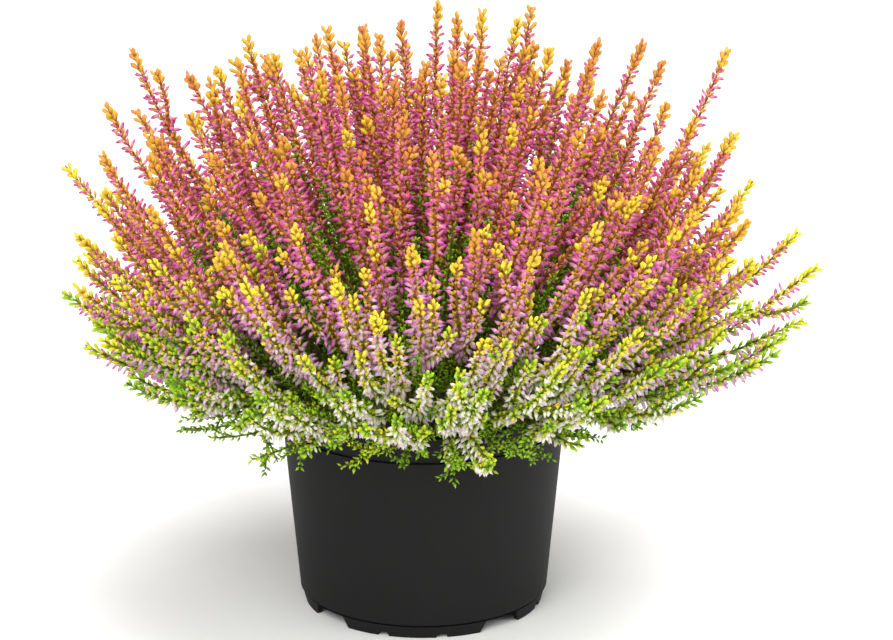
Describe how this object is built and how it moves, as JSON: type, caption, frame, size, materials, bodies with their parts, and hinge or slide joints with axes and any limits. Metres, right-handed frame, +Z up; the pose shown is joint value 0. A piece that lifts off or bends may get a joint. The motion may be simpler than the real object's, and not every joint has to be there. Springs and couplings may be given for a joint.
{
  "type": "potted heather",
  "caption": "Flowering heather in a round black nursery pot, a dome of pink and white flower spikes with golden and lime green tips above a tapered plastic pot.",
  "frame": {"origin": "centre of the circle that the pot's feet stand on, on the surface below it", "axes": "+Z up along the pot's axis, the plant's front looks along -Y, +X is to the right seen from the front"},
  "size_m": [0.3142, 0.2901, 0.2454],
  "materials": {
    "pot_plastic": "moulded, satin, charcoal black",
    "peat": "dark crumbly peat with fibres",
    "rose_flowers": "dry papery buds, magenta pink with orange and golden tips",
    "lilac_flowers": "dry papery buds, lilac pink with yellow tips",
    "white_flowers": "dry papery buds, white and pale lilac with lime green tips",
    "green_leaves": "small scale leaves, fresh green"
  },
  "bodies": {
    "root": {"pot": "pot_plastic", "soil": "peat", "flowering_branch_01": "rose_flowers", "flowering_branch_02": "rose_flowers", "flowering_branch_03": "rose_flowers", "flowering_branch_04": "rose_flowers", "flowering_branch_05": "rose_flowers", "flowering_branch_06": "rose_flowers", "flowering_branch_07": "rose_flowers", "flowering_branch_08": "rose_flowers", "flowering_branch_09": "rose_flowers", "flowering_branch_10": "rose_flowers", "flowering_branch_11": "rose_flowers", "flowering_branch_12": "rose_flowers", "flowering_branch_13": "rose_flowers", "flowering_branch_14": "rose_flowers", "flowering_branch_15": "rose_flowers", "flowering_branch_16": "rose_flowers", "flowering_branch_17": "rose_flowers", "flowering_branch_18": "rose_flowers", "flowering_branch_19": "rose_flowers", "flowering_branch_20": "rose_flowers", "flowering_branch_21": "lilac_flowers", "flowering_branch_22": "lilac_flowers", "flowering_branch_23": "lilac_flowers", "flowering_branch_24": "lilac_flowers", "flowering_branch_25": "lilac_flowers", "flowering_branch_26": "lilac_flowers", "flowering_branch_27": "lilac_flowers", "flowering_branch_28": "lilac_flowers", "flowering_branch_29": "lilac_flowers", "flowering_branch_30": "lilac_flowers", "flowering_branch_31": "lilac_flowers", "flowering_branch_32": "lilac_flowers", "flowering_branch_33": "lilac_flowers", "flowering_branch_34": "lilac_flowers", "flowering_branch_35": "white_flowers", "flowering_branch_36": "white_flowers", "flowering_branch_37": "white_flowers", "flowering_branch_38": "white_flowers", "flowering_branch_39": "white_flowers", "flowering_branch_40": "white_flowers", "flowering_branch_41": "white_flowers", "flowering_branch_42": "white_flowers", "flowering_branch_43": "white_flowers", "flowering_branch_44": "white_flowers", "flowering_branch_45": "white_flowers", "flowering_branch_46": "white_flowers", "flowering_branch_47": "white_flowers", "flowering_branch_48": "white_flowers", "leafy_shoot_1": "green_leaves", "leafy_shoot_2": "green_leaves", "leafy_shoot_3": "green_leaves", "leafy_shoot_4": "green_leaves", "leafy_shoot_5": "green_leaves", "leafy_shoot_6": "green_leaves"}
  },
  "joints": []
}
